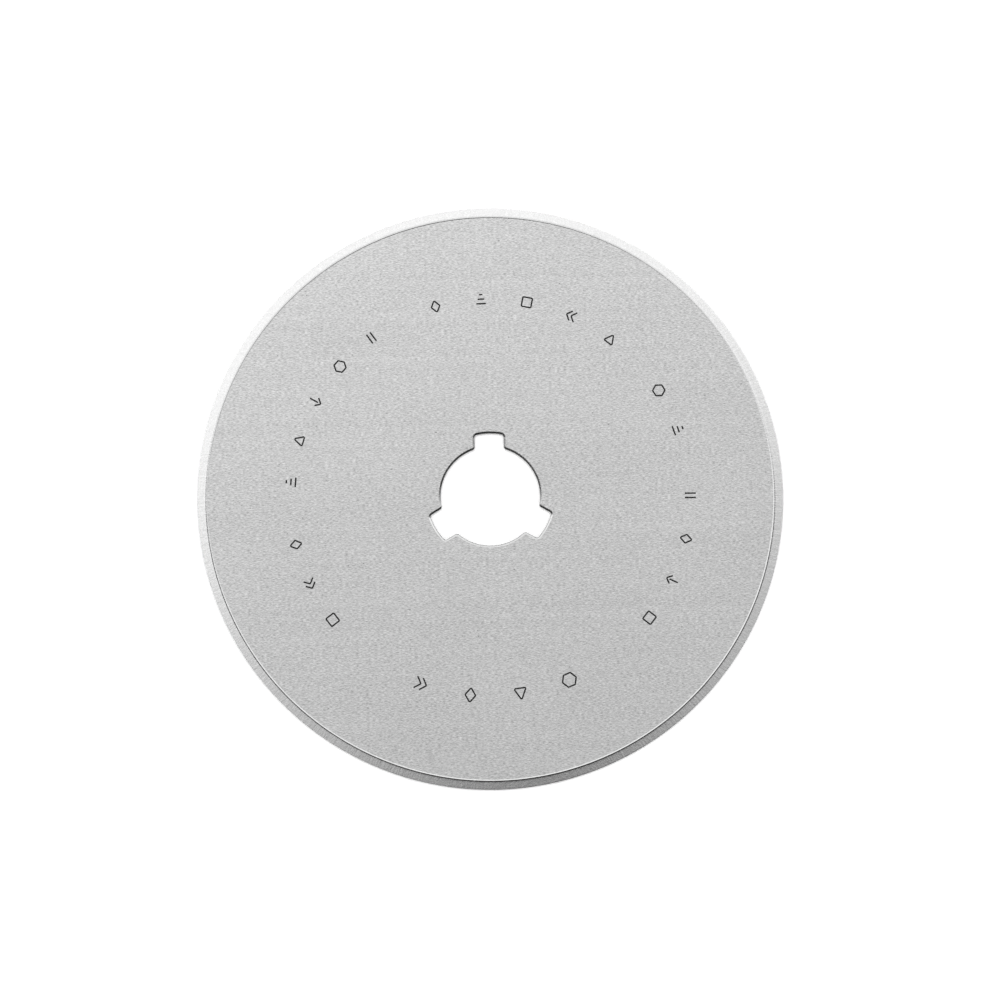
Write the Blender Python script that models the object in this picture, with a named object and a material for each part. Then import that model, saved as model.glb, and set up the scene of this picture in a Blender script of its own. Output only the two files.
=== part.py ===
"""Spare blade for a hand-held rotary cutter: one thin steel disc.

The rim is ground to a knife edge from both sides, and the centre is punched with a round bore
that has three square keys, so that the cutter's hub turns the blade.

Frame: metres. The blade lies flat, its axis is +Z, and the origin is the centre of the bore at
half the blade's thickness. One key points to +Y.
"""

from math import asin, cos, pi, sin

import bmesh
import bpy
from mathutils import Vector

BLADE_RADIUS = 0.030
THICKNESS = 0.0003
BEVEL_WIDTH = 0.0009

BORE_RADIUS = 0.0051
KEY_COUNT = 3
KEY_REACH = 0.0065  # from the blade's axis to a key's outer end
KEY_WIDTH = 0.0030
KEY_CORNER = 0.00030  # the two inner corners at a key's outer end
BORE_CORNER = 0.00032  # where a key's side meets the round bore
PUNCH_ROLL_WIDTH = 0.00018  # how far the punch draws the face down beside the hole
PUNCH_ROLL_DEPTH = 0.00007

KEY_ARC_STEPS = 8
CORNER_STEPS = 4
BORE_ARC_STEPS = 54
ROLL_STEPS = 3
SHARP_ANGLE = 0.12  # radians: the shoulder of the bevel stays a crisp edge

STEEL_COLOUR = (0.58, 0.58, 0.57, 1.0)
STEEL_ROUGHNESS = 0.34
STEEL_METALLIC = 1.0

HALF_THICKNESS = THICKNESS / 2
HALF_KEY = KEY_WIDTH / 2
KEY_PITCH = 2 * pi / KEY_COUNT


def clear_scene():
    """Remove the objects of the startup scene."""
    for obj in list(bpy.data.objects):
        bpy.data.objects.remove(obj, do_unlink=True)


def steel():
    """Rolled tool steel, satin."""
    material = bpy.data.materials.new("tool_steel")
    material.use_nodes = True
    shader = material.node_tree.nodes["Principled BSDF"]
    shader.inputs["Base Color"].default_value = STEEL_COLOUR
    shader.inputs["Roughness"].default_value = STEEL_ROUGHNESS
    shader.inputs["Metallic"].default_value = STEEL_METALLIC
    return material


def arc(centre, radius, start, end, steps, outward=1):
    """Points along an arc, each with the direction from the hole into the steel.

    outward is 1 where the hole lies inside the arc, and -1 where it lies outside.
    """
    found = []
    for step in range(steps + 1):
        angle = start + (end - start) * step / steps
        ray = Vector((cos(angle), sin(angle)))
        found.append((centre + radius * ray, outward * ray))
    return found


def key_side():
    """One side of a key that points to +X, from the middle of its outer end to the round bore."""
    end_middle = KEY_REACH - KEY_CORNER
    corner_y = HALF_KEY - KEY_CORNER
    corner_turn = asin(corner_y / end_middle)
    corner = end_middle * Vector((cos(corner_turn), sin(corner_turn)))

    fillet_middle = BORE_RADIUS + BORE_CORNER
    fillet_turn = asin((HALF_KEY + BORE_CORNER) / fillet_middle)
    fillet = fillet_middle * Vector((cos(fillet_turn), sin(fillet_turn)))

    middle = Vector((0, 0))
    end_arc = arc(middle, KEY_REACH, 0, corner_turn, KEY_ARC_STEPS // 2)
    corner_arc = arc(corner, KEY_CORNER, corner_turn, pi / 2, CORNER_STEPS)
    fillet_arc = arc(fillet, BORE_CORNER, 1.5 * pi, pi + fillet_turn, CORNER_STEPS, outward=-1)
    return end_arc + corner_arc[1:] + fillet_arc, fillet_turn


def one_third():
    """The hole's outline over one key and the bore arc after it, for a key that points to +X."""
    side, fillet_turn = key_side()
    mirrored = [(Vector((p.x, -p.y)), Vector((n.x, -n.y))) for p, n in reversed(side[1:])]
    bore = arc(Vector((0, 0)), BORE_RADIUS, fillet_turn, KEY_PITCH - fillet_turn, BORE_ARC_STEPS)
    return mirrored + side + bore[1:-1]


def turned(vector, angle):
    """The vector turned about the blade's axis."""
    return Vector(
        (
            vector.x * cos(angle) - vector.y * sin(angle),
            vector.x * sin(angle) + vector.y * cos(angle),
        )
    )


def hole_outline():
    """The whole outline of the keyed bore, counter-clockwise, with one key to +Y."""
    outline = []
    for key in range(KEY_COUNT):
        angle = pi / 2 + key * KEY_PITCH
        outline += [(turned(p, angle), turned(n, angle)) for p, n in one_third()]
    return outline


def hole_rings(outline):
    """Rings up the wall of the hole and over its rolled edge to the face, as (x, y, z) lists."""
    rings = []
    for step in range(ROLL_STEPS + 1):
        turn = 0.5 * pi * step / ROLL_STEPS
        spread = PUNCH_ROLL_WIDTH * (1 - cos(turn))
        height = HALF_THICKNESS - PUNCH_ROLL_DEPTH * (1 - sin(turn))
        rings.append([(*(point + spread * normal), height) for point, normal in outline])
    return rings


def rim_ring(radius, height, outline):
    """A circle with as many points as the hole has, starting where its outline starts."""
    count = len(outline)
    points_per_key = count // KEY_COUNT
    middle_of_key = (points_per_key - BORE_ARC_STEPS) // 2
    ring = []
    for index in range(count):
        angle = pi / 2 + (index - middle_of_key) * 2 * pi / count
        ring.append((radius * cos(angle), radius * sin(angle), height))
    return ring


def skin(mesh, rings):
    """Join each ring to the next with quads, and the last ring to the first."""
    rows = [[mesh.verts.new(point) for point in ring] for ring in rings]
    for row, following in zip(rows, rows[1:] + rows[:1]):
        for index in range(len(row)):
            other = (index + 1) % len(row)
            mesh.faces.new((row[index], row[other], following[other], following[index]))


def make_blade():
    """The blade as one closed solid: hole, face, bevel, knife edge, and the same back again."""
    outline = hole_outline()
    upper = hole_rings(outline)
    upper.append(rim_ring(BLADE_RADIUS - BEVEL_WIDTH, HALF_THICKNESS, outline))
    knife_edge = rim_ring(BLADE_RADIUS, 0, outline)
    lower = [[(x, y, -z) for x, y, z in ring] for ring in reversed(upper)]

    mesh = bmesh.new()
    skin(mesh, upper + [knife_edge] + lower)
    bmesh.ops.recalc_face_normals(mesh, faces=mesh.faces)
    data = bpy.data.meshes.new("blade")
    mesh.to_mesh(data)
    mesh.free()
    data.shade_smooth()
    data.set_sharp_from_angle(angle=SHARP_ANGLE)
    data.materials.append(steel())
    blade = bpy.data.objects.new("blade", data)
    bpy.context.collection.objects.link(blade)


clear_scene()
make_blade()
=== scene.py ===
"""Looks of the spare blade of a hand-held rotary cutter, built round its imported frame.

The blade is one piece of rolled tool steel. Its centre is punched, its rim is ground from both
sides and honed to a knife edge, and a ring of plain signs is etched into its front face. One
tree of Geometry Nodes makes it, in millimetres, from named sizes: a path and a section are swept
for the hole and for the rim, the two flat faces are filled between them, and the signs are cut.
"""

import logging
import math
from dataclasses import dataclass, field, fields
from enum import Enum
from typing import Any, Mapping, Optional, Sequence, Union

import bpy
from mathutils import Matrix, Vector


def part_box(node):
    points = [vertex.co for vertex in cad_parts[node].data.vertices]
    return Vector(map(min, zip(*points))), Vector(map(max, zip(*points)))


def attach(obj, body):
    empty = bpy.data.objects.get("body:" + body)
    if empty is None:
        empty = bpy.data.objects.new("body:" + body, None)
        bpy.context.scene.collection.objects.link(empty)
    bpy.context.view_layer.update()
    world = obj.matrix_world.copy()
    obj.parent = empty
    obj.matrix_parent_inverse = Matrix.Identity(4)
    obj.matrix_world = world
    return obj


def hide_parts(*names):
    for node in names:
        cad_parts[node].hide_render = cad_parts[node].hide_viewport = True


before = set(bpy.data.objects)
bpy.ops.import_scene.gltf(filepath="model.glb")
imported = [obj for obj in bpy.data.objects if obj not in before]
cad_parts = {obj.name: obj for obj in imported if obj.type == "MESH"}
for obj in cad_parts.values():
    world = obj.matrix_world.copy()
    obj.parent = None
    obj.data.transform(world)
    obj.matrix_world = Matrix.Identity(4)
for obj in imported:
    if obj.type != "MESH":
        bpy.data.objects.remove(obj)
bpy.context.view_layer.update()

METRES = 0.001
MM_PER_METRE = 1000.0
WHITE = (1.0, 1.0, 1.0, 1.0)
BORDER_FACES = 1.0  # faces beside an edge on the border of a surface
COUNT_SLACK = 0.1  # how far apart two counts may be and still be the same
SPECK_CORE = 0.5  # how much of a speck's radius is solid
LEAST_FADE = 0.001  # the least width of a speck's soft edge, in cells
LOG = logging.getLogger("rotary_blade")

Input = Union["Term", bpy.types.NodeSocket, bpy.types.ID, float, int, bool, str, Sequence[float]]
Number = Union["Term", float]


def drop_empty_slots(mesh: bpy.types.Mesh) -> None:
    """Take away the material slots that hold nothing.

    Args:
        mesh: the mesh, whose faces keep their materials.
    """
    kept = [index for index, material in enumerate(mesh.materials) if material]
    materials = [mesh.materials[index] for index in kept]
    places = [kept.index(face.material_index) for face in mesh.polygons]
    mesh.materials.clear()
    for material in materials:
        mesh.materials.append(material)
    mesh.polygons.foreach_set("material_index", places)


class Term:
    """One output of a node, which can stand in a sum as a number does."""

    def __init__(self, sheet: "Sheet", socket: bpy.types.NodeSocket) -> None:
        """Remember the sheet that the node is on, and the output."""
        self.sheet = sheet
        self.socket = socket

    def other(self, name: str) -> "Term":
        """Another output of the same node."""
        return Term(self.sheet, self.socket.node.outputs[name])

    def __add__(self, value: Number) -> "Term":
        """The sum of both."""
        return self.sheet.math("ADD", self, value)

    def __radd__(self, value: Number) -> "Term":
        """The sum of both."""
        return self.sheet.math("ADD", value, self)

    def __sub__(self, value: Number) -> "Term":
        """This less the value."""
        return self.sheet.math("SUBTRACT", self, value)

    def __rsub__(self, value: Number) -> "Term":
        """The value less this."""
        return self.sheet.math("SUBTRACT", value, self)

    def __mul__(self, value: Number) -> "Term":
        """The product of both."""
        return self.sheet.math("MULTIPLY", self, value)

    def __rmul__(self, value: Number) -> "Term":
        """The product of both."""
        return self.sheet.math("MULTIPLY", value, self)

    def __truediv__(self, value: Number) -> "Term":
        """This divided by the value."""
        return self.sheet.math("DIVIDE", self, value)

    def __rtruediv__(self, value: Number) -> "Term":
        """The value divided by this."""
        return self.sheet.math("DIVIDE", value, self)

    def __neg__(self) -> "Term":
        """This with its sign turned."""
        return self.sheet.math("MULTIPLY", self, -1.0)


class Sheet:
    """Writes a node tree: adds nodes, fills in their inputs and links them."""

    def __init__(self, tree: bpy.types.NodeTree) -> None:
        """Start on a tree."""
        self.tree = tree

    def feed(self, socket: bpy.types.NodeSocket, value: Input) -> None:
        """Link a value to an input, or set it there.

        Args:
            socket: the input.
            value: a term or an output to link, or a plain value to set.
        """
        source = value.socket if isinstance(value, Term) else value
        if isinstance(source, bpy.types.NodeSocket):
            self.tree.links.new(source, socket)
        else:
            socket.default_value = source

    def add(self, kind: str, inputs: Optional[Mapping[Any, Input]] = None, **settings: Any) -> Term:
        """Add a node.

        Args:
            kind: the node's type.
            inputs: what goes into its inputs, by name or by place.
            settings: its other settings.

        Returns:
            The node's first output that is in use.
        """
        node = self.tree.nodes.new(kind)
        for name, value in settings.items():
            setattr(node, name, value)
        for key, value in (inputs or {}).items():
            if isinstance(key, int):
                socket = node.inputs[key]
            else:
                socket = next(s for s in node.inputs if s.name == key and s.enabled)
            self.feed(socket, value)
        return Term(self, next(s for s in node.outputs if s.enabled))

    def math(self, operation: str, *values: Number) -> Term:
        """A Math node.

        Args:
            operation: what it does.
            values: its one to three inputs.

        Returns:
            The result.
        """
        return self.add("ShaderNodeMath", dict(enumerate(values)), operation=operation)

    def vector(self, x: Number, y: Number, z: Number = 0.0) -> Term:
        """A vector from its three parts."""
        return self.add("ShaderNodeCombineXYZ", {"X": x, "Y": y, "Z": z})

    def parts(self, vector: Term) -> tuple[Term, Term, Term]:
        """The three parts of a vector."""
        split = self.add("ShaderNodeSeparateXYZ", {"Vector": vector})
        return split, split.other("Y"), split.other("Z")

    def vector_math(self, operation: str, *values: Input) -> Term:
        """A Vector Math node.

        Args:
            operation: what it does.
            values: its inputs, in their order.

        Returns:
            The result, a vector or a number.
        """
        return self.add("ShaderNodeVectorMath", dict(enumerate(values)), operation=operation)

    def scaled(self, vector: Input, factor: Number) -> Term:
        """A vector times a number."""
        return self.add("ShaderNodeVectorMath", {0: vector, "Scale": factor}, operation="SCALE")

    def eased(self, value: Number, start: Number, end: Number) -> Term:
        """A smooth step from 0 at start to 1 at end."""
        inputs = {"Value": value, "From Min": start, "From Max": end}
        return self.add("ShaderNodeMapRange", inputs, interpolation_type="SMOOTHSTEP")

    def graded(self, value: Number, stops: Sequence[tuple[float, float]]) -> Term:
        """A level read off a line of stops, for a value from -1 to 1.

        Args:
            value: the place along the line.
            stops: places and their levels, in rising order.

        Returns:
            The level.
        """
        ramp = self.add("ShaderNodeValToRGB", {0: (value + 1.0) * 0.5})
        band = ramp.socket.node.color_ramp
        band.interpolation = "LINEAR"
        while len(band.elements) < len(stops):
            band.elements.new(1.0)
        for element, (place, level) in zip(band.elements, stops):
            element.position = (place + 1.0) / 2
            element.color = (level, level, level, 1.0)
        return ramp


class ShapeSheet(Sheet):
    """A sheet for Geometry Nodes, with named inputs, in millimetres."""

    def __init__(self, name: str) -> None:
        """Start an empty tree with one geometry output.

        Args:
            name: the tree's name.
        """
        super().__init__(bpy.data.node_groups.new(name, "GeometryNodeTree"))
        sockets = self.tree.interface
        sockets.new_socket("Geometry", in_out="OUTPUT", socket_type="NodeSocketGeometry")
        self.entry = self.tree.nodes.new("NodeGroupInput")
        self.settings: dict[str, Any] = {}

    def ask(self, name: str, kind: str, value: Any) -> Term:
        """Give the tree a named input.

        Args:
            name: the input's name.
            kind: its socket type.
            value: what the modifier sets it to.

        Returns:
            The value inside the tree.
        """
        item = self.tree.interface.new_socket(name, in_out="INPUT", socket_type=kind)
        self.settings[item.identifier] = value
        return Term(self, self.entry.outputs[name])

    def number(self, name: str, value: float) -> Term:
        """A named input that is a number."""
        return self.ask(name, "NodeSocketFloat", value)

    def switch(self, index: Term, kind: str, choices: Sequence[Input]) -> Term:
        """One of several values, by its number.

        Args:
            index: which one.
            kind: their data type.
            choices: the values.

        Returns:
            The chosen value.
        """
        node = self.tree.nodes.new("GeometryNodeIndexSwitch")
        node.data_type = kind
        while len(node.index_switch_items) < len(choices):
            node.index_switch_items.new()
        self.feed(node.inputs["Index"], index)
        for socket, value in zip(list(node.inputs)[1:], choices):
            self.feed(socket, value)
        return Term(self, node.outputs["Output"])

    def polyline(self, points: Sequence[tuple[Number, Number]]) -> Term:
        """A curve through points in the plane, whose places may be worked out in the tree.

        Args:
            points: the points, each as x and y.

        Returns:
            The curve.
        """
        index = self.add("GeometryNodeInputIndex")
        place = self.switch(index, "VECTOR", [self.vector(x, y) for x, y in points])
        line = self.add("GeometryNodeMeshLine", {"Count": len(points)})
        line = self.add("GeometryNodeSetPosition", {"Geometry": line, "Position": place})
        return self.add("GeometryNodeMeshToCurve", {"Mesh": line})

    def arc(self, radius: Number, start: Number, end: Number, steps: int) -> Term:
        """An arc round the origin.

        Args:
            radius: its radius.
            start: the angle where it starts, in radians.
            end: the angle where it ends.
            steps: how many straight pieces it has.

        Returns:
            The arc, as a curve.
        """
        inputs = {"Resolution": steps + 1, "Radius": radius, "Start Angle": start}
        inputs["Sweep Angle"] = end - start
        return self.add("GeometryNodeCurveArc", inputs, mode="RADIUS")

    def polar(self, reach: Number, turn: Number) -> tuple[Term, Term]:
        """The x and y of a place, from its reach and its turn from +X."""
        return reach * self.math("COSINE", turn), reach * self.math("SINE", turn)

    def moved(self, geometry: Term, **change: Input) -> Term:
        """Geometry after a move, a turn or a change of scale."""
        inputs = {name.title(): value for name, value in change.items()}
        return self.add("GeometryNodeTransform", {"Geometry": geometry, **inputs})

    def join(self, *pieces: Term) -> Term:
        """Several pieces as one.

        Args:
            pieces: the pieces, in their order.

        Returns:
            All of them.
        """
        node = self.tree.nodes.new("GeometryNodeJoinGeometry")
        for piece in reversed(pieces):
            self.feed(node.inputs["Geometry"], piece)
        return Term(self, node.outputs["Geometry"])

    def sweep(self, path: Term, section: Term, caps: bool = False) -> Term:
        """A section swept along a path."""
        inputs = {"Curve": path, "Profile Curve": section, "Fill Caps": caps}
        return self.add("GeometryNodeCurveToMesh", inputs)

    def dress(self, geometry: Term, finish: bpy.types.Material, where: Input = True) -> Term:
        """Geometry with a finish on the faces that are chosen."""
        inputs = {"Geometry": geometry, "Selection": where, "Material": finish}
        return self.add("GeometryNodeSetMaterial", inputs)

    def cook(self, geometry: Term, name: str) -> bpy.types.Object:
        """Run the tree and keep what it makes as a plain mesh.

        Args:
            geometry: what the tree gives.
            name: the name of the piece.

        Returns:
            The piece, at the origin, with no modifier.
        """
        exit_node = self.tree.nodes.new("NodeGroupOutput")
        self.feed(exit_node.inputs["Geometry"], geometry)
        piece = bpy.data.objects.new(name, bpy.data.meshes.new(name))
        bpy.context.scene.collection.objects.link(piece)
        modifier = piece.modifiers.new("recipe", "NODES")
        modifier.node_group = self.tree
        for identifier, value in self.settings.items():
            modifier[identifier] = value
        made = piece.evaluated_get(bpy.context.evaluated_depsgraph_get())
        mesh = bpy.data.meshes.new_from_object(made)
        piece.modifiers.clear()
        piece.data = mesh
        mesh.name = name
        drop_empty_slots(mesh)
        return piece


@dataclass(frozen=True)
class Grain:
    """A pattern of noise on a surface.

    Attributes:
        per_mm: lumps per millimetre along X, Y and Z.
        detail: how many finer layers it has.
        roughness: how strong the finer layers are.
        shift: a move along X, Y and Z, so that it differs from its neighbours.
    """

    per_mm: tuple[float, float, float]
    detail: float = 2.0
    roughness: float = 0.5
    shift: tuple[float, float, float] = (0.0, 0.0, 0.0)


class SurfaceSheet(Sheet):
    """A sheet for a finish, with the place on the piece in millimetres."""

    def __init__(self, name: str) -> None:
        """Start a material.

        Args:
            name: its name.
        """
        self.material = bpy.data.materials.new(name)
        self.material.use_nodes = True
        super().__init__(self.material.node_tree)
        self.shader = self.tree.nodes["Principled BSDF"]
        place = self.add("ShaderNodeTexCoord").other("Object")
        self.place = self.scaled(place, MM_PER_METRE)

    def ripple(self, grain: Grain, place: Optional[Term] = None) -> Term:
        """Noise about zero.

        Args:
            grain: its pattern.
            place: where it is read, if not at the place on the piece.

        Returns:
            A number from about -1 to 1.
        """
        place = self.vector_math("MULTIPLY_ADD", place or self.place, grain.per_mm, grain.shift)
        inputs = {"Vector": place, "Scale": 1.0, "Detail": grain.detail}
        inputs["Roughness"] = grain.roughness
        return (self.add("ShaderNodeTexNoise", inputs) - 0.5) * 2.0

    def specks(self, per_mm: Sequence[float], share: float, radius: float) -> Term:
        """Scattered soft dots, at most one in a cell.

        Args:
            per_mm: cells per millimetre along X, Y and Z.
            share: how many of the cells hold a dot, from 0 to 1.
            radius: the largest dot's radius, in cells.

        Returns:
            1 in a dot and 0 elsewhere.
        """
        place = self.vector_math("MULTIPLY", self.place, per_mm)
        cells = self.add("ShaderNodeTexVoronoi", {"Vector": place, "Scale": 1.0})
        chance = self.parts(cells.other("Color"))[0]
        size = self.eased(chance, 1.0 - share, 1.0) * radius
        return 1.0 - self.eased(cells, size * SPECK_CORE, size + LEAST_FADE)

    def coat(self, grey: float, shade: Term, roughness: Term) -> None:
        """Set a grey, darkened or lightened by a shade, and the roughness."""
        self.feed(self.shader.inputs["Base Color"], self.scaled((grey, grey, grey), shade))
        self.feed(self.shader.inputs["Roughness"], roughness)

    def emboss(self, height: Term, depth: float) -> None:
        """Give the surface a relief.

        Args:
            height: the relief, about -1 to 1.
            depth: how much one unit of it stands up, in millimetres.
        """
        bump = self.add("ShaderNodeBump", {"Height": height, "Distance": depth * METRES})
        self.feed(self.shader.inputs["Normal"], bump)


@dataclass(frozen=True)
class Finish:
    """A finish, with sizes in millimetres.

    A name that ends in _tone says how much a pattern darkens or lightens the surface, one in
    _matt how much it roughens it, and one in _relief how far it stands up beside the others.

    Attributes:
        name: the material's name.
        grey: how much light it reflects, in every colour.
        roughness: its mean roughness.
        metallic: 1 for steel and 0 for the board.
    """

    name: str
    grey: float
    roughness: float
    metallic: float = 1.0

    def make(self) -> bpy.types.Material:
        """Make the finish.

        Returns:
            The material.
        """
        sheet = SurfaceSheet(self.name)
        sheet.shader.inputs["Metallic"].default_value = self.metallic
        self.paint(sheet)
        return sheet.material

    def paint(self, sheet: SurfaceSheet) -> None:
        """Write the finish's own pattern. Each finish has one."""
        raise NotImplementedError


@dataclass(frozen=True)
class RolledSteel(Finish):
    """Cold-rolled strip: short grain and long faint bands along X, with a few tiny pits.

    Attributes:
        grain: the finest pattern.
        lines: a coarser one.
        bands: long bands along X.
        clouds: wide, soft patches.
        pit_cells: cells per millimetre that may hold a pit, along X, Y and Z.
        pit_share: how many of the cells hold one.
        pit_radius: radius of the largest pit, in cells.
        relief: how far the grain stands up.
    """

    grain: Grain = Grain((3.2, 15.0, 1.0), detail=1.0, roughness=0.6)
    grain_tone: float = 0.72
    grain_matt: float = 0.05
    lines: Grain = Grain((1.1, 9.0, 1.0), detail=1.0, shift=(0.0, 0.0, 7.0))
    line_tone: float = 0.16
    bands: Grain = Grain((0.02, 1.1, 1.0), detail=4.0, roughness=0.7)
    band_tone: float = 0.08
    band_relief: float = 0.5
    clouds: Grain = Grain((0.07, 0.09, 1.0))
    cloud_tone: float = 0.05
    pit_cells: tuple[float, float, float] = (1.3, 1.7, 1.0)
    pit_share: float = 0.35
    pit_radius: float = 0.14
    pit_tone: float = 0.50
    pit_matt: float = 0.1
    relief: float = 0.0004

    def paint(self, sheet: SurfaceSheet) -> None:
        """Write the grain, the lines, the bands, the clouds and the pits.

        Args:
            sheet: the finish's tree.
        """
        grain = sheet.ripple(self.grain)
        lines = sheet.ripple(self.lines)
        bands = sheet.ripple(self.bands)
        clouds = sheet.ripple(self.clouds)
        pits = sheet.specks(self.pit_cells, self.pit_share, self.pit_radius)
        shade = 1.0 + grain * self.grain_tone + lines * self.line_tone
        shade = shade + bands * self.band_tone + clouds * self.cloud_tone
        shade = shade * (1.0 - pits * self.pit_tone)
        roughness = self.roughness + grain * self.grain_matt + pits * self.pit_matt
        sheet.coat(self.grey, shade, roughness)
        sheet.emboss(grain + bands * self.band_relief - pits, self.relief)


@dataclass(frozen=True)
class GroundSteel(Finish):
    """Ground rim: fine scratches that run across it, all the way round.

    Attributes:
        rim_radius: radius at which the scratches have their width.
        scratches: their pattern, whose Z runs across the rim.
        grit: the grit between them.
        relief: how far the scratches stand up.
    """

    rim_radius: float = 30.0
    scratches: Grain = Grain((4.0, 4.0, 0.7), detail=3.0, roughness=0.7)
    scratch_tone: float = 0.11
    scratch_matt: float = 0.06
    grit: Grain = Grain((7.0, 7.0, 7.0), roughness=0.6)
    grit_tone: float = 0.18
    grit_relief: float = 0.6
    relief: float = 0.0085

    def paint(self, sheet: SurfaceSheet) -> None:
        """Write the scratches and the grit between them.

        Args:
            sheet: the finish's tree.
        """
        x, y, _ = sheet.parts(sheet.place)
        reach = sheet.math("SQRT", x * x + y * y)
        around = self.rim_radius / reach
        across = sheet.vector(x * around, y * around, reach)
        scratches = sheet.ripple(self.scratches, across)
        grit = sheet.ripple(self.grit)
        shade = 1.0 + scratches * self.scratch_tone + grit * self.grit_tone
        sheet.coat(self.grey, shade, self.roughness + scratches * self.scratch_matt)
        sheet.emboss(scratches + grit * self.grit_relief, self.relief)


@dataclass(frozen=True)
class ShearedSteel(Finish):
    """Punched hole: bright where its edge was drawn down, dull and scored on the wall, and the
    wall's colour darkened partly as painted shade.

    Attributes:
        drag: the lines down the wall.
        wall_height: where the wall ends, from the middle of the blade.
        wall_fade: how softly it ends.
        wall_waver: how uneven its end is.
        relief: how far the lines stand up.
    """

    drag: Grain = Grain((9.0, 9.0, 1.5), detail=3.0, roughness=0.6)
    drag_tone: float = 0.25
    drag_matt: float = 0.05
    wall_height: float = 0.055
    wall_fade: float = 0.01
    wall_waver: float = 0.004
    # how much the wall's colour is darkened: partly dull torn steel, partly painted shade
    wall_tone: float = 0.85
    wall_matt: float = 0.3
    relief: float = 0.004

    def paint(self, sheet: SurfaceSheet) -> None:
        """Write the drag lines down the wall and the torn band, whose colour is darkened partly as
        dull torn steel and partly as painted shade.

        Args:
            sheet: the finish's tree.
        """
        drag = sheet.ripple(self.drag)
        height = sheet.math("ABSOLUTE", sheet.parts(sheet.place)[2]) + drag * self.wall_waver
        outside, inside = self.wall_height + self.wall_fade, self.wall_height - self.wall_fade
        wall = sheet.eased(height, outside, inside)
        # the wall's colour is darkened partly as dull torn steel and partly as painted shade
        shade = (1.0 + drag * self.drag_tone) * (1.0 - wall * self.wall_tone)
        roughness = self.roughness + wall * self.wall_matt + drag * self.drag_matt
        sheet.coat(self.grey, shade, roughness)
        sheet.emboss(drag, self.relief)


@dataclass(frozen=True)
class EtchedSteel(Finish):
    """Bottom of an etched groove: dark and matt.

    Attributes:
        mottle: its stains.
        relief: how far the stains stand up.
    """

    mottle: Grain = Grain((14.0, 14.0, 14.0), detail=3.0, roughness=0.6)
    mottle_tone: float = 0.35
    mottle_matt: float = 0.1
    relief: float = 0.002

    def paint(self, sheet: SurfaceSheet) -> None:
        """Write the mottled oxide.

        Args:
            sheet: the finish's tree.
        """
        mottle = sheet.ripple(self.mottle)
        shade = 1.0 + mottle * self.mottle_tone
        sheet.coat(self.grey, shade, self.roughness + mottle * self.mottle_matt)
        sheet.emboss(mottle, self.relief)


@dataclass(frozen=True)
class PaleBoard(Finish):
    """The plain pale board that the blade lies on, lit a little from within.

    Attributes:
        glow: how much light it gives.
        tooth: its faint unevenness.
    """

    glow: float = 0.16
    tooth: Grain = Grain((2.0, 2.0, 2.0))
    tooth_tone: float = 0.004
    tooth_matt: float = 0.02

    def paint(self, sheet: SurfaceSheet) -> None:
        """Write an even, matt white with the least trace of a tooth.

        Args:
            sheet: the finish's tree.
        """
        sheet.shader.inputs["Emission Color"].default_value = WHITE
        sheet.shader.inputs["Emission Strength"].default_value = self.glow
        tooth = sheet.ripple(self.tooth)
        shade = 1.0 + tooth * self.tooth_tone
        sheet.coat(self.grey, shade, self.roughness + tooth * self.tooth_matt)


class Sign(Enum):
    """Plain signs for the etched ring, drawn in a box one unit high, each line closed or open."""

    DIAMOND = ((True, ((0.0, -0.5), (0.36, 0.0), (0.0, 0.5), (-0.36, 0.0))),)
    TAPERED_BARS = (
        (False, ((-0.4, 0.38), (0.4, 0.38))),
        (False, ((-0.27, 0.0), (0.27, 0.0))),
        (False, ((-0.14, -0.38), (0.14, -0.38))),
    )
    TRIANGLE = ((True, ((-0.42, 0.38), (0.42, 0.38), (0.0, -0.42))),)
    DOUBLE_CHEVRON = (
        (False, ((-0.4, 0.42), (-0.02, 0.0), (-0.4, -0.42))),
        (False, ((0.0, 0.42), (0.38, 0.0), (0.0, -0.42))),
    )
    HEXAGON = (
        (
            True,
            ((0.25, -0.44), (0.5, 0.0), (0.25, 0.44), (-0.25, 0.44), (-0.5, 0.0), (-0.25, -0.44)),
        ),
    )
    DOUBLE_BAR = (
        (False, ((-0.18, -0.45), (-0.18, 0.45))),
        (False, ((0.18, -0.45), (0.18, 0.45))),
    )
    SQUARE = ((True, ((-0.4, -0.4), (0.4, -0.4), (0.4, 0.4), (-0.4, 0.4))),)
    ARROW = (
        (False, ((0.0, -0.5), (0.0, 0.24))),
        (False, ((-0.36, 0.1), (0.0, 0.5), (0.36, 0.1))),
    )


@dataclass(frozen=True)
class SignGroup:
    """A run of signs along the etched ring.

    Attributes:
        first: angle of the first sign, in degrees from +X.
        pitch: angle from one sign to the next, in degrees.
        signs: the signs, counter-clockwise.
        height: height of each sign, in millimetres.
    """

    first: float
    pitch: float
    signs: tuple[Sign, ...]
    height: float = 1.25


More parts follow.
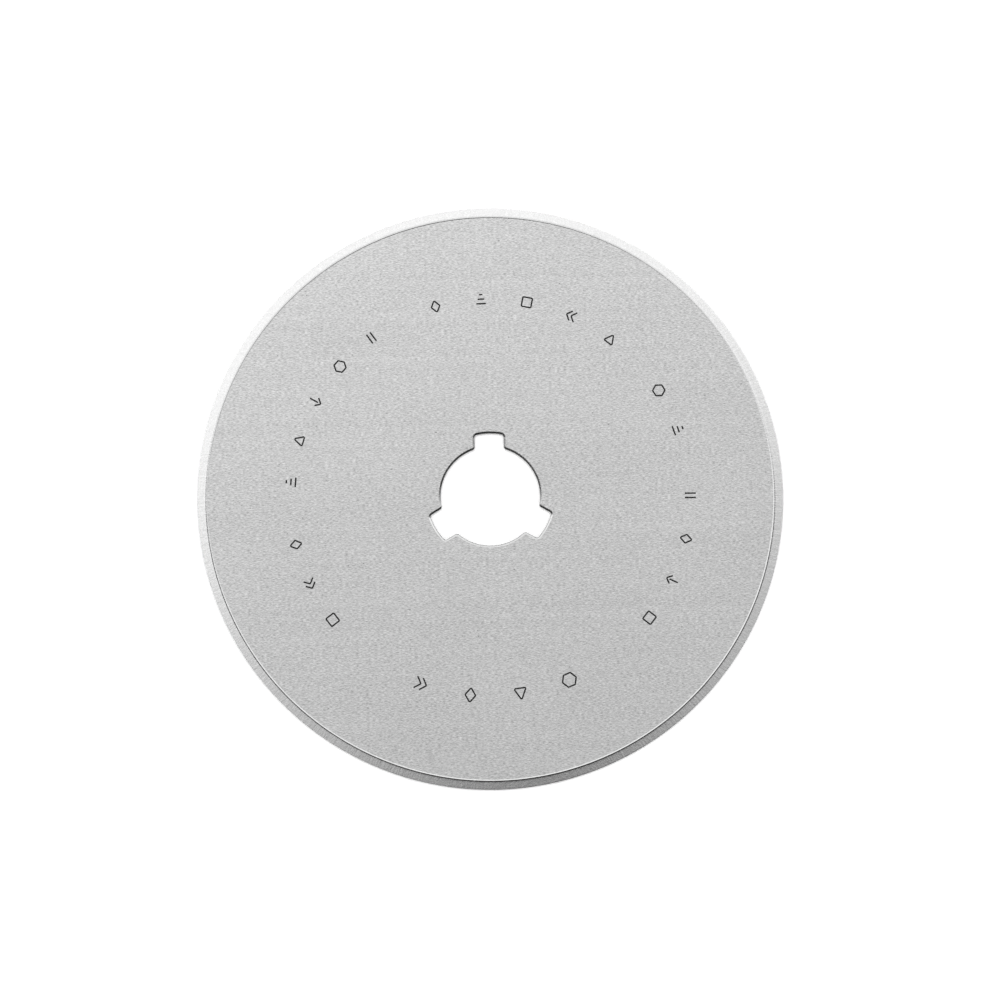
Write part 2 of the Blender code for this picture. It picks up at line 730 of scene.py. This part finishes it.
@dataclass(frozen=True)
class BladeSizes:
    """Sizes of the blade, in millimetres. The first two come from the frame.

    Attributes:
        rim_radius: radius of the cutting edge.
        half_thickness: height of the burr's crest, from the middle of the blade.
        bevel_width: from the burr's crest to the cutting edge, seen from above.
        burr_height: how far the burr stands above the face.
        burr_inner_width: how far the burr reaches over the face.
        burr_outer_width: how far the burr reaches over the bevel.
        honed_width: width of the honed edge.
        honed_height: its height where it starts, from the middle of the blade.
        bore_radius: radius of the round bore.
        key_reach: from the axis to the outer end of a key.
        key_width: width of a key.
        key_corner: radius of a key's corners.
        bore_corner: radius where the side of a key meets the bore.
        roll_width: how far from the hole the punch drew the face down.
    """

    rim_radius: float
    half_thickness: float
    bevel_width: float = 0.9
    burr_height: float = 0.024
    burr_inner_width: float = 0.11
    burr_outer_width: float = 0.13
    honed_width: float = 0.045
    honed_height: float = 0.011
    bore_radius: float = 5.1
    key_reach: float = 6.5
    key_width: float = 3.0
    key_corner: float = 0.30
    bore_corner: float = 0.32
    roll_width: float = 0.20

    @classmethod
    def from_frame(cls, node: str) -> "BladeSizes":
        """Sizes that fill the box of a node.

        Args:
            node: a node of the frame.

        Returns:
            The sizes.
        """
        low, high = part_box(node)
        size = (high - low) * MM_PER_METRE
        return cls(rim_radius=size.x / 2, half_thickness=size.z / 2)


@dataclass
class Blade:
    """The blade: a punched, ground, honed and etched disc of steel.

    Attributes:
        sizes: its sizes.
        finishes: the finishes, by the part that wears them.
        ring_radius: radius of the ring of signs, in millimetres.
        stroke_width: width of the signs' lines.
        groove_depth: how deep they are cut.
        groove_sides: number of sides of a groove's section.
        sign_corner: radius of the signs' corners, in widths of a line.
        sign_corner_steps: straight pieces of such a corner.
        key_count: number of keys.
        roll_slopes: slopes of the rolled edge at its two ends, in degrees.
        roll_steps: straight pieces across the rolled edge.
        burr_steps: straight pieces across each side of the burr.
        bevel_rings: where the bevel has rings of points, in shares of its width.
        tip: where the honed edge turns blunt, in shares of its width and height.
        rim_steps: straight pieces round the rim.
        bore_arc_steps: straight pieces of the bore between two keys.
        key_end_steps: straight pieces of a key's outer end.
        corner_steps: straight pieces of each corner of the hole.
        same_place: points this near to each other are in one place, in millimetres.
        weld: points of two parts this near to each other become one.
        groups: the runs of signs.
        named: the sizes, as the inputs of the tree.
    """

    sizes: BladeSizes
    finishes: Mapping[str, bpy.types.Material]
    ring_radius: float = 20.5
    stroke_width: float = 0.16
    groove_depth: float = 0.02
    groove_sides: int = 12
    sign_corner: float = 0.6
    sign_corner_steps: int = 3
    key_count: int = 3
    roll_slopes: tuple[float, float] = (17.0, 29.0)
    roll_steps: int = 6
    burr_steps: int = 5
    bevel_rings: tuple[float, ...] = (0.7, 0.35, 0.06, 0.0)
    tip: tuple[float, float] = (0.1, 0.12)
    rim_steps: int = 720
    bore_arc_steps: int = 90
    key_end_steps: int = 30
    corner_steps: int = 8
    same_place: float = 0.001
    weld: float = 0.0005
    groups: tuple[SignGroup, ...] = (
        SignGroup(
            first=-38.9,
            pitch=12.6,
            signs=(Sign.SQUARE, Sign.ARROW, Sign.DIAMOND, Sign.DOUBLE_BAR),
        ),
        SignGroup(first=18.4, pitch=12.6, signs=(Sign.TAPERED_BARS, Sign.HEXAGON)),
        SignGroup(
            first=51.5,
            pitch=13.3,
            signs=(
                Sign.TRIANGLE,
                Sign.DOUBLE_CHEVRON,
                Sign.SQUARE,
                Sign.TAPERED_BARS,
                Sign.DIAMOND,
            ),
        ),
        SignGroup(
            first=125.4,
            pitch=12.3,
            signs=(Sign.DOUBLE_BAR, Sign.HEXAGON, Sign.ARROW, Sign.TRIANGLE, Sign.TAPERED_BARS),
        ),
        SignGroup(
            first=192.8,
            pitch=12.1,
            signs=(Sign.DIAMOND, Sign.DOUBLE_CHEVRON, Sign.SQUARE),
        ),
        SignGroup(
            first=248.6,
            pitch=14.4,
            signs=(Sign.DOUBLE_CHEVRON, Sign.DIAMOND, Sign.TRIANGLE, Sign.HEXAGON),
            height=1.5,
        ),
    )
    named: dict[str, Term] = field(default_factory=dict)

    def corner(
        self, sheet: ShapeSheet, radius: Term, middle: tuple[Term, Term], start: Number, end: Number
    ) -> Term:
        """A rounded corner of the hole.

        Args:
            sheet: the blade's tree.
            radius: the corner's radius.
            middle: reach and turn of its middle.
            start: the angle where it starts, in radians.
            end: the angle where it ends.

        Returns:
            The arc, as a curve.
        """
        arc = sheet.arc(radius, start, end, self.corner_steps)
        return sheet.moved(arc, translation=sheet.vector(*sheet.polar(*middle)))

    def hole_path(self, sheet: ShapeSheet) -> Term:
        """The outline of the keyed bore, one key to +Y.

        Args:
            sheet: the blade's tree.

        Returns:
            A closed curve.
        """
        size = self.named
        half_key = size["key_width"] / 2
        end_middle = size["key_reach"] - size["key_corner"]
        end_turn = sheet.math("ARCSINE", (half_key - size["key_corner"]) / end_middle)
        neck_middle = size["bore_radius"] + size["bore_corner"]
        neck_turn = sheet.math("ARCSINE", (half_key + size["bore_corner"]) / neck_middle)
        pitch = 2 * math.pi / self.key_count
        quarter = math.pi / 2

        neck, key = size["bore_corner"], size["key_corner"]
        arcs = sheet.join(
            self.corner(sheet, neck, (neck_middle, -neck_turn), math.pi - neck_turn, quarter),
            self.corner(sheet, key, (end_middle, -end_turn), -quarter, -end_turn),
            sheet.arc(size["key_reach"], -end_turn, end_turn, self.key_end_steps),
            self.corner(sheet, key, (end_middle, end_turn), end_turn, quarter),
            self.corner(sheet, neck, (neck_middle, neck_turn), 3 * quarter, math.pi + neck_turn),
            sheet.arc(size["bore_radius"], neck_turn, pitch - neck_turn, self.bore_arc_steps),
        )
        third = sheet.add("GeometryNodeCurveToPoints", {"Curve": arcs}, mode="EVALUATED")
        turns = [(0.0, 0.0, quarter + index * pitch) for index in range(self.key_count)]
        points = sheet.join(*[sheet.moved(third, rotation=turn) for turn in turns])
        merge = {"Geometry": points, "Distance": self.same_place}
        points = sheet.add("GeometryNodeMergeByDistance", merge)
        path = sheet.add("GeometryNodePointsToCurves", {"Points": points})
        return sheet.add("GeometryNodeSetSplineCyclic", {"Geometry": path, "Cyclic": True})

    def hole_section(self, sheet: ShapeSheet, face: Term) -> Term:
        """The hole's wall in section: the edge that the punch drew down, the wall, and again.

        Args:
            sheet: the blade's tree.
            face: height of the flat face.

        Returns:
            A curve with x into the steel and y up.
        """
        start, end = (math.radians(angle) for angle in self.roll_slopes)
        bend = self.named["roll_width"] / (math.sin(end) - math.sin(start))
        upper = []
        for step in range(self.roll_steps + 1):
            slope = start + (end - start) * step / self.roll_steps
            across = self.named["roll_width"] - bend * (math.sin(slope) - math.sin(start))
            upper.append((across, face - bend * (math.cos(start) - math.cos(slope))))
        lower = [(x, -y) for x, y in reversed(upper)]
        return sheet.polyline(upper + lower)

    def rim_section(self, sheet: ShapeSheet, face: Term) -> Term:
        """The rim in section: burr line, ground bevel, honed edge, and the same on the back.

        Args:
            sheet: the blade's tree.
            face: height of the flat face.

        Returns:
            A curve with x outwards from the rim's circle and y up.
        """
        size = self.named
        upper: list[tuple[Number, Number]] = []
        fall = (face - size["honed_height"]) / (size["bevel_width"] - size["honed_width"])
        for step in range(-self.burr_steps, self.burr_steps + 1):
            share = step / self.burr_steps
            side = size["burr_outer_width"] if share > 0 else size["burr_inner_width"]
            out = side * share
            crest = size["burr_height"] * math.cos(math.pi / 2 * share) ** 2
            ground = fall * out if share > 0 else 0.0
            upper.append((out - size["bevel_width"], face + crest - ground))
        last = size["honed_width"]
        for share in self.bevel_rings:
            inward = last + (size["bevel_width"] - last) * share
            upper.append((-inward, size["honed_height"] + fall * (inward - last)))
        tip_width, tip_height = self.tip
        upper.append((last * -tip_width, size["honed_height"] * tip_height))
        lower = [(x, -y) for x, y in upper]
        return sheet.polyline(lower + [(0.0, 0.0)] + upper[::-1])

    def flat_face(self, sheet: ShapeSheet, walls: Term, face: Term, side: int) -> Term:
        """The flat face that closes the swept walls on one side.

        Args:
            sheet: the blade's tree.
            walls: the swept hole and rim.
            face: height of the flat face.
            side: 1 for the front and -1 for the back.

        Returns:
            The face, facing out.
        """
        height = sheet.parts(sheet.add("GeometryNodeInputPosition"))[2]
        on_side = sheet.math("GREATER_THAN", height * side, face - self.same_place)
        neighbours = sheet.add("GeometryNodeInputMeshEdgeNeighbors")
        is_border = sheet.math("COMPARE", neighbours, BORDER_FACES, COUNT_SLACK)
        border = sheet.math("MULTIPLY", on_side, is_border)
        loops = sheet.add("GeometryNodeMeshToCurve", {"Mesh": walls, "Selection": border})
        filled = sheet.add("GeometryNodeFillCurve", {"Curve": loops}, mode="NGONS")
        filled = sheet.moved(filled, translation=sheet.vector(0.0, 0.0, face * side))
        return filled if side > 0 else sheet.add("GeometryNodeFlipFaces", {"Mesh": filled})

    def sign_drawings(self) -> bpy.types.Collection:
        """One curve for each kind of sign, in a collection of their own.

        Returns:
            The collection, whose curves sort by name in the order of the signs.
        """
        drawings = bpy.data.collections.new("sign_drawings")
        for index, sign in enumerate(Sign):
            curve = bpy.data.curves.new(f"{index:02d}_{sign.name.lower()}", "CURVE")
            curve.dimensions = "3D"
            for closed, points in sign.value:
                line = curve.splines.new("POLY")
                line.points.add(len(points) - 1)
                for point, (x, y) in zip(line.points, points):
                    point.co = (x, y, 0.0, 1.0)
                line.use_cyclic_u = closed
            drawings.objects.link(bpy.data.objects.new(curve.name, curve))
        return drawings

    def row_of_signs(
        self, sheet: ShapeSheet, group: SignGroup, library: Term, ring: Term, face: Term
    ) -> Term:
        """One group of signs, set along the ring with their tops to the centre.

        Args:
            sheet: the blade's tree.
            group: which signs, and where.
            library: the drawings of all signs, as instances.
            ring: radius of the ring.
            face: height of the flat face.

        Returns:
            Instances of the drawings.
        """
        index = sheet.add("GeometryNodeInputIndex")
        turn = index * math.radians(group.pitch) + math.radians(group.first)
        place = sheet.vector(*sheet.polar(ring, turn), face)
        points = sheet.add("GeometryNodePoints", {"Count": len(group.signs), "Position": place})
        kinds = list(Sign)
        choice = sheet.switch(index, "INT", [kinds.index(sign) for sign in group.signs])
        placing = {
            "Points": points,
            "Instance": library,
            "Pick Instance": True,
            "Instance Index": choice,
            "Rotation": sheet.vector(0.0, 0.0, turn + math.pi / 2),
            "Scale": (group.height, group.height, group.height),
        }
        return sheet.add("GeometryNodeInstanceOnPoints", placing)

    def grooves(self, sheet: ShapeSheet, face: Term) -> Term:
        """The cutters of the etched signs, standing half out of the front face.

        Args:
            sheet: the blade's tree.
            face: height of the flat face.

        Returns:
            The cutters, each of them closed.
        """
        ring = sheet.number("Ring Radius", self.ring_radius)
        width = sheet.number("Stroke Width", self.stroke_width)
        depth = sheet.number("Groove Depth", self.groove_depth)
        drawings = sheet.ask("Signs", "NodeSocketCollection", self.sign_drawings())
        choices = {"Collection": drawings, "Separate Children": True, "Reset Children": True}
        library = sheet.add("GeometryNodeCollectionInfo", choices)
        runs = [self.row_of_signs(sheet, group, library, ring, face) for group in self.groups]
        strokes = sheet.add("GeometryNodeRealizeInstances", {"Geometry": sheet.join(*runs)})
        rounding = {
            "Curve": strokes,
            "Count": self.sign_corner_steps,
            "Radius": width * self.sign_corner,
            "Limit Radius": True,
        }
        strokes = sheet.add("GeometryNodeFilletCurve", rounding, mode="POLY")
        rounds = {"Resolution": self.groove_sides, "Radius": 1.0}
        circle = sheet.add("GeometryNodeCurvePrimitiveCircle", rounds)
        section = sheet.moved(circle, scale=sheet.vector(width / 2, depth, 1.0))
        return sheet.sweep(strokes, section, caps=True)

    def cut(self, sheet: ShapeSheet, blank: Term, cutters: Term) -> Term:
        """The blank with the grooves cut into it.

        Args:
            sheet: the blade's tree.
            blank: the closed blade without its signs.
            cutters: the closed strokes of the signs, none of which cross.

        Returns:
            The closed, marked blade.
        """
        node = sheet.tree.nodes.new("GeometryNodeMeshBoolean")
        node.operation = "DIFFERENCE"
        node.solver = "MANIFOLD"
        sheet.feed(node.inputs["Mesh 1"], blank)
        sheet.feed(node.inputs["Mesh 2"], cutters)
        return Term(sheet, node.outputs["Mesh"])

    def build(self) -> bpy.types.Object:
        """Make the blade.

        Returns:
            The blade as one closed mesh, in metres.
        """
        sheet = ShapeSheet("blade_recipe")
        for item in fields(self.sizes):
            name = item.name.replace("_", " ").title()
            self.named[item.name] = sheet.number(name, getattr(self.sizes, item.name))
        face = self.named["half_thickness"] - self.named["burr_height"]
        rim_radius = self.named["rim_radius"]

        hole = sheet.sweep(self.hole_path(sheet), self.hole_section(sheet, face))
        circle = {"Resolution": self.rim_steps, "Radius": rim_radius}
        rim = sheet.add("GeometryNodeCurvePrimitiveCircle", circle)
        rim = sheet.sweep(rim, self.rim_section(sheet, face))
        walls = sheet.join(hole, rim)
        faces = sheet.join(*[self.flat_face(sheet, walls, face, side) for side in (1, -1)])
        hole = sheet.dress(hole, self.finishes["punched"])
        rim = sheet.dress(rim, self.finishes["ground"])
        faces = sheet.dress(faces, self.finishes["rolled"])
        faces = sheet.add("GeometryNodeSetShadeSmooth", {"Geometry": faces, "Shade Smooth": False})
        merge = {"Geometry": sheet.join(hole, rim, faces), "Distance": self.weld}
        blank = sheet.add("GeometryNodeMergeByDistance", merge)

        grooves = sheet.dress(self.grooves(sheet, face), self.finishes["etched"])
        blade = self.cut(sheet, blank, grooves)
        blade = sheet.moved(blade, scale=(METRES, METRES, METRES))
        reach = sheet.vector_math("LENGTH", sheet.add("GeometryNodeInputPosition")) * MM_PER_METRE
        honed = sheet.math("GREATER_THAN", reach, rim_radius - self.named["honed_width"])
        blade = sheet.add("GeometryNodeRealizeInstances", {"Geometry": blade})
        blade = sheet.dress(blade, self.finishes["honed"], honed)
        return sheet.cook(blade, "blade_steel")


@dataclass(frozen=True)
class SoftLight:
    """Plain soft studio light: a soft box high behind the blade, a grey ceiling and pale walls.

    Attributes:
        ceiling: the ceiling's level, from the dark viewer's side to the bright far side.
        walls: the walls' level, by the sine of the height above the floor.
        wall_tilt: how much the walls dim towards the far side, and brighten towards the viewer's.
        lean: how far the ceiling's bright side leans to -X.
        bowl: how much brighter the ceiling is towards both sides.
        bowl_limit: the square of x where the bowl stops rising.
        box_edge: where the soft box starts, beyond the ceiling.
        box_turn: how sharp its edge is.
        strength: multiplies the ceiling and the walls.
        horizon: level of the backdrop behind the floor.
        ceiling_band: sines of the heights between which the ceiling starts.
        wall_band: sines of the heights between which the walls start, downwards.
        horizon_band: sines of the heights between which the backdrop starts, downwards.
    """

    ceiling: tuple[tuple[float, float], ...] = (
        (-1.0, 0.012),
        (-0.42, 0.012),
        (-0.34, 0.05),
        (-0.25, 0.21),
        (-0.133, 0.43),
        (0.0, 0.535),
        (0.10, 0.54),
        (0.18, 0.57),
        (0.26, 0.79),
        (0.36, 0.96),
        (0.46, 1.09),
        (0.60, 1.03),
        (0.80, 0.84),
        (1.0, 0.84),
    )
    walls: tuple[tuple[float, float], ...] = (
        (0.0, 0.14),
        (0.13, 0.14),
        (0.25, 0.36),
        (0.45, 0.70),
        (0.60, 0.80),
    )
    wall_tilt: float = 0.5
    lean: float = 0.30
    bowl: float = 1.4
    bowl_limit: float = 0.2
    box_edge: float = 0.18
    box_turn: float = 3.0
    strength: float = 2.15
    horizon: float = 1.15
    ceiling_band: tuple[float, float] = (0.80, 0.87)
    wall_band: tuple[float, float] = (0.60, 0.46)
    horizon_band: tuple[float, float] = (0.13, 0.095)

    def hang(self) -> None:
        """Make the light."""
        world = bpy.data.worlds.new("soft_tent")
        world.use_nodes = True
        bpy.context.scene.world = world
        sheet = Sheet(world.node_tree)
        x, y, z = sheet.parts(sheet.add("ShaderNodeTexCoord").other("Generated"))
        sides = sheet.math("MINIMUM", x * x, self.bowl_limit) * self.bowl
        overhead = y - x * self.lean + sides
        beyond = (y - self.box_edge) * self.box_turn
        place = beyond + sheet.eased(z, *self.ceiling_band) * (overhead - beyond)
        upper = sheet.graded(place, self.ceiling)
        wall = sheet.graded(z, self.walls) * (1.0 - y * self.wall_tilt)
        tent = (upper + sheet.eased(z, *self.wall_band) * (wall - upper)) * self.strength
        light = tent + sheet.eased(z, *self.horizon_band) * (self.horizon - tent)
        background = world.node_tree.nodes["Background"]
        sheet.feed(background.inputs["Color"], sheet.vector(light, light, light))


@dataclass(frozen=True)
class Studio:
    """The board under the blade, and the camera above it. Lengths are in metres.

    Attributes:
        board: the board's finish.
        board_width: width of the board.
        gap: how far the board lies below the blade.
        distance: from the middle of the blade to the camera.
        elevation: the camera's height above the board, in degrees.
        focal_length: of the lens, in millimetres.
        clip_start: nearest that the camera sees.
        aim: the point on the blade that the camera looks at.
    """

    board: bpy.types.Material
    board_width: float = 6.0
    gap: float = 0.00002
    distance: float = 0.350
    elevation: float = 83.0
    focal_length: float = 122.9
    clip_start: float = 0.01
    aim: tuple[float, float] = (0.00098, -0.00041)

    def lay_board(self, bottom: float) -> bpy.types.Object:
        """Lay the board just under the blade.

        Args:
            bottom: the blade's lowest point.

        Returns:
            The board.
        """
        half = self.board_width / 2
        corners = [(-half, -half), (half, -half), (half, half), (-half, half)]
        mesh = bpy.data.meshes.new("board")
        mesh.from_pydata([(x, y, bottom - self.gap) for x, y in corners], [], [(0, 1, 2, 3)])
        mesh.materials.append(self.board)
        board = bpy.data.objects.new("board", mesh)
        bpy.context.scene.collection.objects.link(board)
        return board

    def set_camera(self) -> bpy.types.Object:
        """Set the camera over the blade, a little towards -Y.

        Returns:
            The camera, which the scene uses.
        """
        lens = bpy.data.cameras.new("camera")
        lens.lens = self.focal_length
        lens.clip_start = self.clip_start
        camera = bpy.data.objects.new("camera", lens)
        bpy.context.scene.collection.objects.link(camera)
        tilt = math.radians(self.elevation)
        away = Vector((0.0, -math.cos(tilt), math.sin(tilt))) * self.distance
        target = Vector((*self.aim, 0.0))
        camera.location = away
        camera.rotation_euler = (target - away).to_track_quat("-Z", "Y").to_euler()
        bpy.context.scene.camera = camera
        return camera


def make_finishes() -> dict[str, bpy.types.Material]:
    """Make all finishes.

    Returns:
        The materials, by the part of the blade or the scene that wears them.
    """
    kinds = {
        "rolled": RolledSteel("rolled_steel", grey=0.425, roughness=0.27),
        "ground": GroundSteel("ground_steel", grey=0.44, roughness=0.20),
        "punched": ShearedSteel("sheared_steel", grey=0.43, roughness=0.18),
        "etched": EtchedSteel("etched_steel", grey=0.03, roughness=0.6),
        "honed": GroundSteel("honed_steel", grey=0.5, roughness=0.22),
        "board": PaleBoard("pale_board", grey=0.95, roughness=0.9, metallic=0.0),
    }
    return {part: finish.make() for part, finish in kinds.items()}


def main() -> None:
    """Build the blade, and set the board, the light and the camera."""
    bpy.context.scene.view_settings.view_transform = "Standard"
    finishes = make_finishes()
    sizes = BladeSizes.from_frame("blade")
    blade = Blade(sizes, finishes).build()
    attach(blade, "root")
    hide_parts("blade")
    LOG.info("%s: %d faces", blade.name, len(blade.data.polygons))

    studio = Studio(finishes["board"])
    board = studio.lay_board(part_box("blade")[0].z)
    studio.set_camera()
    SoftLight().hang()
    LOG.info("board, light and camera are set")


if __name__ == "__main__":
    logging.basicConfig(level=logging.INFO)
    main()
